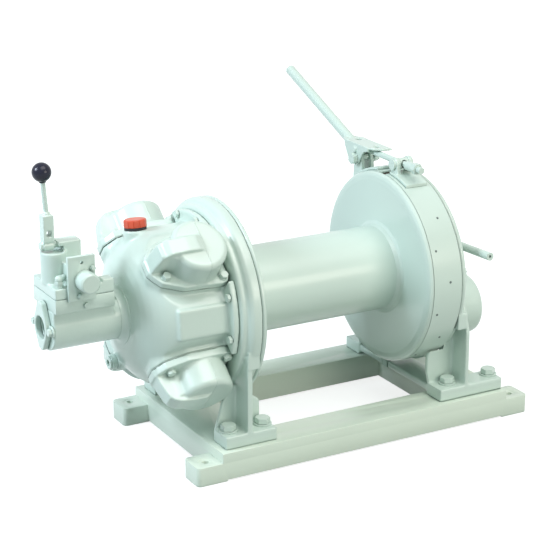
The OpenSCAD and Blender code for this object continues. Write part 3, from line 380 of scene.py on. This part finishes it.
# Foot bolts and washers
# Eight M22 hexagon bolts on plain washers hold the uprights to the rails, painted over with the frame. The
# heads are forged, with the round chamfer that a die leaves on the six corners.
def bolt_tree():
    """Geometry Nodes: a hexagon bolt at each point, along its aim, turned by its spin."""
    tree = bpy.data.node_groups.new("hexagon_bolts", "GeometryNodeTree")
    sockets = tree.interface
    sockets.new_socket("Geometry", in_out="INPUT", socket_type="NodeSocketGeometry")
    for label in ("Across Flats", "Head Height", "Washer Radius", "Washer Height", "Shank Radius",
                  "Shank Length"):
        sockets.new_socket(label, in_out="INPUT", socket_type="NodeSocketFloat")
    sockets.new_socket("Finish", in_out="INPUT", socket_type="NodeSocketMaterial")
    sockets.new_socket("Geometry", in_out="OUTPUT", socket_type="NodeSocketGeometry")
    new = tree.nodes.new
    link = tree.links.new
    given = new("NodeGroupInput")
    out = new("NodeGroupOutput")

    def maths(what, x, y):
        node = new("ShaderNodeMath")
        node.operation = what
        for k, v in enumerate((x, y)):
            if isinstance(v, (int, float)):
                node.inputs[k].default_value = v
            else:
                link(v, node.inputs[k])
        return node.outputs[0]

    def rod(sides, radius, length, low, top=None):
        """A cylinder, or a cone with another top radius, standing on the height low."""
        if top is None:
            body = new("GeometryNodeMeshCylinder")
            link(radius, body.inputs["Radius"])
        else:
            body = new("GeometryNodeMeshCone")
            link(radius, body.inputs["Radius Bottom"])
            link(top, body.inputs["Radius Top"])
        body.inputs["Vertices"].default_value = sides
        link(length, body.inputs["Depth"])
        lift = new("GeometryNodeTransform")
        move = new("ShaderNodeCombineXYZ")
        height = low if top is not None else maths("ADD", low, maths("MULTIPLY", length, 0.5))
        link(height, move.inputs["Z"])
        link(body.outputs["Mesh"], lift.inputs["Geometry"])
        link(move.outputs[0], lift.inputs["Translation"])
        return lift.outputs[0]

    flats = given.outputs["Across Flats"]
    head_height = given.outputs["Head Height"]
    washer_height = given.outputs["Washer Height"]
    zero = maths("MULTIPLY", head_height, 0.0)
    corner_radius = maths("MULTIPLY", flats, 0.57735)
    hexagon = rod(6, corner_radius, head_height, washer_height)
    chamfer_radius = maths("MULTIPLY", flats, 0.49)
    flare = maths("MULTIPLY", head_height, 1.7)
    die = rod(32, maths("ADD", chamfer_radius, flare), maths("ADD", head_height, washer_height), zero,
              top=chamfer_radius)
    head = new("GeometryNodeMeshBoolean")
    head.operation = "INTERSECT"
    head.solver = "EXACT"
    link(hexagon, head.inputs["Mesh 2"])
    link(die, head.inputs["Mesh 2"])
    washer = rod(28, given.outputs["Washer Radius"], washer_height, zero)
    shank_length = given.outputs["Shank Length"]
    shank = rod(16, given.outputs["Shank Radius"], shank_length, maths("MULTIPLY", shank_length, -1.0))
    whole = new("GeometryNodeJoinGeometry")
    for part in (head.outputs["Mesh"], washer, shank):
        link(part, whole.inputs[0])
    aim = new("GeometryNodeInputNamedAttribute")
    aim.data_type = "FLOAT_VECTOR"
    aim.inputs["Name"].default_value = "aim"
    turn = new("FunctionNodeAlignRotationToVector")
    turn.axis = "Z"
    link(aim.outputs["Attribute"], turn.inputs["Vector"])
    spin = new("FunctionNodeRandomValue")
    spin.data_type = "FLOAT"
    for socket in spin.inputs:
        if socket.enabled and socket.name == "Max":
            socket.default_value = math.radians(60)
        if socket.enabled and socket.name == "Seed":
            socket.default_value = 5
    about = new("FunctionNodeAxisAngleToRotation")
    about.inputs["Axis"].default_value = (0, 0, 1)
    link(next(s for s in spin.outputs if s.enabled), about.inputs["Angle"])
    both = new("FunctionNodeRotateRotation")
    both.rotation_space = "LOCAL"
    link(turn.outputs[0], both.inputs["Rotation"])
    link(about.outputs[0], both.inputs["Rotate By"])
    copies = new("GeometryNodeInstanceOnPoints")
    link(given.outputs["Geometry"], copies.inputs["Points"])
    link(whole.outputs[0], copies.inputs["Instance"])
    link(both.outputs[0], copies.inputs["Rotation"])
    real = new("GeometryNodeRealizeInstances")
    link(copies.outputs[0], real.inputs[0])
    coat = new("GeometryNodeSetMaterial")
    link(real.outputs[0], coat.inputs["Geometry"])
    link(given.outputs["Finish"], coat.inputs["Material"])
    link(coat.outputs[0], out.inputs[0])
    return tree


hexagon_bolts = bolt_tree()


def bolts(name, node, body, places, material, head, washer, shank):
    """The bolts of one joint as one mesh: places are pairs of a seat point and an outward direction.

    head is its size across flats and its height; washer and shank are a radius and a length."""
    sizes = {"Across Flats": head[0], "Head Height": head[1],
             "Washer Radius": washer[0], "Washer Height": washer[1],
             "Shank Radius": shank[0], "Shank Length": shank[1]}
    points = bpy.data.meshes.new(name)
    points.from_pydata([tuple(p) for p, _ in places], [], [])
    points.attributes.new("aim", "FLOAT_VECTOR", "POINT").data.foreach_set(
        "vector", [c for _, d in places for c in Vector(d).normalized()])
    holder = bpy.data.objects.new(name + "_places", points)
    bpy.context.scene.collection.objects.link(holder)
    grow = holder.modifiers.new("bolts", "NODES")
    grow.node_group = hexagon_bolts
    for item in hexagon_bolts.interface.items_tree:
        if item.in_out == "INPUT" and item.name in sizes:
            grow[item.identifier] = sizes[item.name]
        if item.in_out == "INPUT" and item.name == "Finish":
            grow[item.identifier] = material
    mesh = baked(holder)
    bpy.data.objects.remove(holder)
    piece = put(name, mesh, material, smooth_to=30)
    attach(piece, body)
    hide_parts(node)
    return piece


rail_middle, washer_top = 0.208, 0.115
bolt_rows = (-0.398, -0.298, 0.281, 0.418)
foot_seats = [((x, side * rail_middle, washer_top), (0, 0, 1)) for x in bolt_rows for side in (-1, 1)]
bolts("foot_bolt_set", "foot_bolts", "winch", foot_seats, plate_enamel,
      head=(0.0355, 0.0142), washer=(0.0165, 0.0008), shank=(0.011, 0.068))
dress(plate_enamel, "foot_washers")


# Motor crankcase
# One iron casting, turned on its mounting flange and faced on four sides for the cylinder heads. It has a
# filler boss on top, an oil plug boss low on its end, and a neck for the valve chest.
def crankcase_faces(place):
    """The turned flange and the bores stay crisp; the cast end and its bosses are soft."""
    x, y, z = place.T
    out = np.hypot(y, z - drum_axis)
    flange_back, bore_wall = -0.4, 0.152
    return np.where((x > flange_back) | (out < bore_wall), 0.3, 1.0)


cast("crankcase", "motor_housing", "winch", cast_enamel,
     voxel=0.0032, rounds=9, share=0.55, firm=crankcase_faces)


star_turn = 45 - 4


def star(i):
    """Local frame of cylinder i: Z is the radius, X stays the drum axis."""
    return Matrix.Translation((0, 0, drum_axis)) @ Matrix.Rotation(math.radians(star_turn + 90 * i), 4, "X")


bolt_circle, bolt_seat = 0.228, -0.396
flange_seats = []
for i in range(8):
    a = math.radians(star_turn + 90 * (i // 2) + (31 if i % 2 == 0 else 59))
    seat = (bolt_seat, -bolt_circle * math.sin(a), drum_axis + bolt_circle * math.cos(a))
    flange_seats.append((seat, (-1, 0, 0)))
bolts("motor_flange_bolts", "motor_bolts", "winch", flange_seats, plate_enamel,
      head=(0.018, 0.0083), washer=(0.0088, 0.0006), shank=(0.0059, 0.043))
dress(plate_enamel, "oil_plug")


# Cylinder heads
# Four like iron castings with an air passage from the valve end to a dome over the bore. The joint of the two
# halves of the mould left a thin raised line across each dome.
def head_flange(place):
    """The faced joint and the flange of a head stay crisp under its soft crown."""
    height = (place - [0, 0, drum_axis]) @ np.array(star(0).to_3x3())[:, 2]
    flange_top = 0.209
    return np.where(height < flange_top, 0.25, 1.0)


pattern = cast("head_pattern", "cylinder_head_1", None, cast_enamel,
               voxel=0.0021, rounds=9, share=0.75, firm=head_flange)
bead = ((-0.0016, -0.001), (-0.0008, 0.0007), (0.0008, 0.0007), (0.0016, -0.001))
dome_middle = Vector((-0.452, 0, 0.215))
head_seat = 0.210
head_bolt_places = ((-0.546, 0.038), (-0.546, -0.038), (-0.396, 0.062), (-0.396, -0.062))
head_seats = []
for i in range(4):
    mesh = pattern.data.copy()
    mesh.transform(star(i) @ star(0).inverted())
    crown = BVHTree.FromPolygons([v.co[:] for v in mesh.vertices], [p.vertices[:] for p in mesh.polygons])
    line = bmesh.new()
    line.from_mesh(mesh)
    out = star(i).to_3x3()
    along = Vector((1, 0, 0))
    rings = []
    for k in range(61):
        a = math.radians(-88 + 176 * k / 60)
        ray = (out @ Vector((0, math.sin(a), math.cos(a)))).normalized()
        start = star(i) @ dome_middle + ray * 0.2
        hit, normal, _, _ = crown.ray_cast(start, -ray)
        if hit is None:
            continue
        normal = (normal - along * normal.dot(along)).normalized()
        rings.append([hit + along * x + normal * z for x, z in bead])
    made = [[line.verts.new(p) for p in ring] for ring in rings]
    for r0, r1 in zip(made, made[1:]):
        for k in range(4):
            line.faces.new((r0[k], r0[(k + 1) % 4], r1[(k + 1) % 4], r1[k]))
    line.faces.new(made[0])
    line.faces.new(list(reversed(made[-1])))
    fresh = [f for f in line.faces if f.index == -1 or f.index >= len(mesh.polygons)]
    bmesh.ops.recalc_face_normals(line, faces=fresh)
    line.to_mesh(mesh)
    line.free()
    head = put(f"head_casting_{i + 1}", mesh, cast_enamel, smooth_to=50)
    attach(head, "winch")
    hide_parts(f"cylinder_head_{i + 1}")
    for x, y in head_bolt_places:
        head_seats.append((star(i) @ Vector((x, y, head_seat)), out @ Vector((0, 0, 1))))
bpy.data.objects.remove(pattern)
bolts("head_bolt_set", "head_bolts", "winch", head_seats, plate_enamel,
      head=(0.0195, 0.009), washer=(0.0129, 0.002), shank=(0.0058, 0.050))
dress(enamel("painted_joint", (0.44, 0.53, 0.47), peel=0.1, casting=0.2, gloss=0.36), "head_gaskets")


# Valve block
# The air inlet runs through an iron chest into the motor, with a fillet round its neck. On it stand the
# distributor plate and the valve casting with its round tower; a flange with two bolts takes the air hose.
cast("valve_chest_casting", "valve_chest", "winch", cast_enamel, voxel=0.0022, rounds=6, share=0.7)
cast("inlet_flange_casting", "inlet_flange", "winch", cast_enamel, voxel=0.0016, rounds=3, share=0.7)
cast("valve_casting", "valve_top", "winch", cast_enamel, voxel=0.0019, rounds=5, share=0.55)
eased("distributor_casting", "distributor_plate", "winch", cast_enamel, radius=0.003, steps=3)
eased("cover_plate_piece", "cover_plate", "winch", plate_enamel, radius=0.0012, steps=2)
inlet_seats = [((-0.810, side * 0.052, 0.404), (-1, 0, 0)) for side in (-1, 1)]
bolts("inlet_bolt_pair", "inlet_bolts", "winch", inlet_seats, plate_enamel,
      head=(0.017, 0.0085), washer=(0.0084, 0.0005), shank=(0.0049, 0.027))
dress(turned_enamel, "end_cap", "pilot_elbow")
dress(plate_enamel, "cover_nuts")


def turned(name, profile, place, material, body, node, segments, wave=None):
    """A round piece from (radius, height) points along place's Z, closed on its axis or as a ring.

    wave gives how far each point moves in or out at an angle, for grips and flutes."""
    shape = bmesh.new()
    rows = []
    for r, z in profile:
        if r < 1e-6:
            rows.append([shape.verts.new((0, 0, z))])
            continue
        row = []
        for k in range(segments):
            a = math.tau * k / segments
            q = r if wave is None else r * wave(r, z, a)
            row.append(shape.verts.new((q * math.cos(a), q * math.sin(a), z)))
        rows.append(row)
    for low, high in zip(rows, rows[1:]):
        for k in range(segments):
            m = (k + 1) % segments
            if len(low) == 1:
                shape.faces.new((low[0], high[m], high[k]))
            elif len(high) == 1:
                shape.faces.new((low[k], low[m], high[0]))
            else:
                shape.faces.new((low[k], low[m], high[m], high[k]))
    if profile[0] == profile[-1]:
        bmesh.ops.remove_doubles(shape, verts=shape.verts, dist=1e-7)
    elif len(rows[0]) > 1:
        shape.faces.new(list(reversed(rows[0])))
    bmesh.ops.recalc_face_normals(shape, faces=shape.faces)
    mesh = bpy.data.meshes.new(name)
    shape.to_mesh(mesh)
    shape.free()
    mesh.transform(place)
    piece = put(name, mesh, material, smooth_to=24)
    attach(piece, body)
    if node:
        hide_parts(node)
    return piece


fillet_radius = 0.0160
middle_r, middle_z = 0.0790, 0.6230
inner_r, back_z = 0.0600, 0.6030
fillet = [(inner_r, middle_z)]
for a in range(0, 91, 10):
    fillet.append((middle_r - fillet_radius * math.cos(math.radians(a)),
                   middle_z - fillet_radius * math.sin(math.radians(a))))
fillet += [(0.0800, back_z), (inner_r, back_z), (inner_r, middle_z)]
neck_axis = Matrix.Translation((0, 0, 0.402)) @ Matrix.Rotation(math.radians(-90), 4, "Y")
turned("neck_fillet", fillet, neck_axis, cast_enamel, "winch", None, segments=72)


# Throttle lever
# A forged fork on the rocker shaft carries a thin round rod with a ball knob of black phenolic plastic,
# moulded round the end of the rod and polished.
cast("throttle_fork", "throttle_lever", "throttle", plate_enamel, voxel=0.0014, rounds=3, share=0.6)


def moulded(name, colour, rough, speck, coat, shine=0.5):
    """Moulded plastic or rubber: faint mottling, a fine matt grain and scuffs in its gloss."""
    finish = bpy.data.materials.new(name)
    finish.use_nodes = True
    t = finish.node_tree
    resin = t.nodes["Principled BSDF"]
    resin.inputs["Specular IOR Level"].default_value = shine
    resin.inputs["Coat Weight"].default_value = coat
    resin.inputs["Coat Roughness"].default_value = 0.08
    where = t.nodes.new("ShaderNodeTexCoord")
    mottle = t.nodes.new("ShaderNodeTexNoise")
    mottle.inputs["Scale"].default_value = 30.0
    mottle.inputs["Detail"].default_value = 4.0
    shade = t.nodes.new("ShaderNodeValToRGB")
    shade.color_ramp.elements[0].position = 0.3
    shade.color_ramp.elements[0].color = tuple(c * 0.86 for c in colour) + (1,)
    shade.color_ramp.elements[1].position = 0.7
    shade.color_ramp.elements[1].color = tuple(colour) + (1,)
    scuff = t.nodes.new("ShaderNodeMapRange")
    scuff.inputs["To Min"].default_value = rough - 0.05
    scuff.inputs["To Max"].default_value = rough + 0.10
    pores = t.nodes.new("ShaderNodeTexNoise")
    pores.inputs["Scale"].default_value = 500.0
    relief = t.nodes.new("ShaderNodeBump")
    relief.inputs["Strength"].default_value = speck
    relief.inputs["Distance"].default_value = 0.0004
    for a, b in (
        (where.outputs["Object"], mottle.inputs["Vector"]),
        (where.outputs["Object"], pores.inputs["Vector"]),
        (mottle.outputs["Fac"], shade.inputs["Fac"]),
        (mottle.outputs["Fac"], scuff.inputs["Value"]),
        (shade.outputs["Color"], resin.inputs["Base Color"]),
        (scuff.outputs["Result"], resin.inputs["Roughness"]),
        (pores.outputs["Fac"], relief.inputs["Height"]),
        (relief.outputs["Normal"], resin.inputs["Normal"]),
    ):
        t.links.new(a, b)
    return finish


phenolic = moulded("black_phenolic", (0.012, 0.014, 0.030), rough=0.20, speck=0.03, coat=0.12, shine=0.22)
rod_axis = Matrix.Translation((-0.787, 0.005, 0.690)) @ Matrix.Rotation(math.radians(-4), 4, "Y")
collar = [(0.0066, 0.0842), (0.0084, 0.0842), (0.0090, 0.0848), (0.0090, 0.0866), (0.0095, 0.0876)]
ball_radius, ball_middle = 0.0245, 0.110
ball = [(ball_radius * math.sin(math.radians(a)), ball_middle - ball_radius * math.cos(math.radians(a)))
        for a in range(26, 180, 6)]
knob = collar + ball + [(0, ball_middle + ball_radius)]
turned("ball_knob", knob, rod_axis, phenolic, "throttle", "throttle_knob", segments=64)


# Oil filler
# A screw cap of orange-red plastic with twelve flat grips, on a black rubber seal. It stands on its boss over
# the crankcase and leans back with it.
red_plastic = moulded("orange_red_plastic", (0.66, 0.085, 0.036), rough=0.34, speck=0.10, coat=0.15)
rubber = moulded("black_rubber", (0.022, 0.020, 0.022), rough=0.62, speck=0.25, coat=0.0)
cap_axis = Matrix.Translation((-0.536, 0, drum_axis)) @ Matrix.Rotation(math.radians(-8.5), 4, "X")


def grips(r, z, a):
    """Twelve flats on the rim with a narrow groove between each two, and a round top."""
    top_radius, groove_edge, groove_depth = 0.0262, 0.24, 0.055
    if r < top_radius:
        return 1.0
    half = math.tau / 24
    across = a % (2 * half) - half
    return math.cos(half) / math.cos(across) - (groove_depth if abs(across) > groove_edge else 0.0)


cap_shell = [(0.0178, 0.190), (0.0178, 0.2131), (0.0288, 0.2133), (0.0300, 0.2142),
             (0.0300, 0.2296), (0.0296, 0.2318), (0.0284, 0.2334), (0.0266, 0.2341),
             (0.0235, 0.2342), (0.0225, 0.2337), (0.0212, 0.2335), (0, 0.2335)]
turned("filler_cap_shell", cap_shell, cap_axis, red_plastic, "cap", "filler_cap",
       segments=144, wave=grips)
dress(rubber, "filler_seal")


# Drum
# Turned from one casting: a plain rope barrel between two flanges, the brake track outside the second. It
# turns on two plain bearings and carries the ring of its drive gear inside the gear case.
dress(turned_enamel, "drum")


# Band brake
# A steel band with a screwed-on lining goes round the track and ends in two lugs. The hand lever pivots on
# the rear lug and draws the front lug to it by a threaded rod; the lining is a brown woven friction strip.
dress(turned_enamel, "brake_band")
dress(plate_enamel, "band_anchor", "lug_trunnion", "pivot_bolt", "adjusting_rod")
# The lining screws are dark: dirt on their bare heads, and painted shade of their countersinks.
dress(enamel("screw_dirt_and_painted_shade", (0.11, 0.15, 0.14), peel=0.1, casting=0.3, gloss=0.5), "lining_screws")
cast("rear_lug_casting", "rear_lug", "winch", plate_enamel, voxel=0.0016, rounds=2, share=0.6)
cast("front_lug_casting", "front_lug", "winch", plate_enamel, voxel=0.0016, rounds=2, share=0.6)
cast("brake_hand_lever", "brake_lever", "brake", plate_enamel, voxel=0.0015, rounds=6, share=0.6)
woven = moulded("brown_brake_lining", (0.085, 0.055, 0.038), rough=0.85, speck=0.8, coat=0.0)
dress(woven, "brake_lining")


# Disc brake and clutch lever
# Friction discs on the lay shaft run between steel discs in the boss, which has a grease nipple on top. A
# round hand rod turns the vertical shaft that slides the pinion out of mesh.
dress(plate_enamel, "clutch_lever")
dress(woven, "friction_discs")
nipple = [(0.0050, 0.324), (0.0050, 0.3425), (0.0062, 0.3435), (0.0062, 0.3465),
          (0.0042, 0.3478), (0.0034, 0.3496), (0.0030, 0.3515), (0.0034, 0.3532),
          (0.0034, 0.3545), (0.0022, 0.3558), (0, 0.356)]
nipple_axis = Matrix.Translation((0.474, -0.004, 0))
turned("grease_nipple", nipple, nipple_axis, plate_enamel, "winch", None, segments=24)


# Running gear
# Steel shafts, gears, bearings, springs and discs, turned or ground and left bare with a film of oil; the
# pistons are aluminium. They sit inside the castings.
def bare_metal(name, colour, rough, ring):
    """Turned metal: tool rings round the drum axis and an uneven oil film."""
    finish = bpy.data.materials.new(name)
    finish.use_nodes = True
    t = finish.node_tree
    metal = t.nodes["Principled BSDF"]
    metal.inputs["Metallic"].default_value = 1.0
    where = t.nodes.new("ShaderNodeTexCoord")
    film = t.nodes.new("ShaderNodeTexNoise")
    film.inputs["Scale"].default_value = 18.0
    film.inputs["Detail"].default_value = 5.0
    shade = t.nodes.new("ShaderNodeValToRGB")
    shade.color_ramp.elements[0].position = 0.3
    shade.color_ramp.elements[0].color = tuple(c * 0.7 for c in colour) + (1,)
    shade.color_ramp.elements[1].position = 0.7
    shade.color_ramp.elements[1].color = tuple(colour) + (1,)
    gloss = t.nodes.new("ShaderNodeMapRange")
    gloss.inputs["To Min"].default_value = rough - 0.08
    gloss.inputs["To Max"].default_value = rough + 0.12
    rings = t.nodes.new("ShaderNodeTexWave")
    rings.wave_type = "BANDS"
    rings.bands_direction = "X"
    rings.inputs["Scale"].default_value = ring
    rings.inputs["Distortion"].default_value = 0.6
    tool = t.nodes.new("ShaderNodeBump")
    tool.inputs["Strength"].default_value = 0.15
    tool.inputs["Distance"].default_value = 0.0002
    for a, b in (
        (where.outputs["Object"], film.inputs["Vector"]),
        (where.outputs["Object"], rings.inputs["Vector"]),
        (film.outputs["Fac"], shade.inputs["Fac"]),
        (film.outputs["Fac"], gloss.inputs["Value"]),
        (shade.outputs["Color"], metal.inputs["Base Color"]),
        (gloss.outputs["Result"], metal.inputs["Roughness"]),
        (rings.outputs["Fac"], tool.inputs["Height"]),
        (tool.outputs["Normal"], metal.inputs["Normal"]),
    ):
        t.links.new(a, b)
    return finish


oiled_steel = bare_metal("oiled_steel", (0.50, 0.51, 0.52), rough=0.34, ring=260.0)
gear_steel = bare_metal("hardened_gear_steel", (0.36, 0.36, 0.37), rough=0.40, ring=180.0)
bronze = bare_metal("bearing_bronze", (0.62, 0.42, 0.20), rough=0.36, ring=220.0)
aluminium = bare_metal("piston_aluminium", (0.72, 0.73, 0.74), rough=0.30, ring=240.0)
dress(oiled_steel, "crankshaft", "connecting_rods", "piston_pins", "cylinder_liners", "rotary_valve",
      "layshaft", "steel_discs", "brake_springs", "valve_spool")
dress(gear_steel, "shift_pinion", "layshaft_gear", "drum_gear")
dress(bronze, "drum_bearings", "shaft_bearings", "crank_bearings")
dress(aluminium, "pistons")


# Centring spring
# A steel coil between the end cap and the collar of the valve spool, which the throttle lever pushes
# towards the cap: by the spool's stroke of 13.5 mm and 0.3 mm more, so the two stay clear. The coil stands
# at its rest length, on a mesh of its own.
coil = solid_copy("centring_spring")
wire = bpy.data.meshes.new("centring_coil")
coil.to_mesh(wire)
coil.free()
spring = put("centring_coil", wire, oiled_steel)
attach(spring, "winch")
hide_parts("centring_spring")
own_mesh(spring)
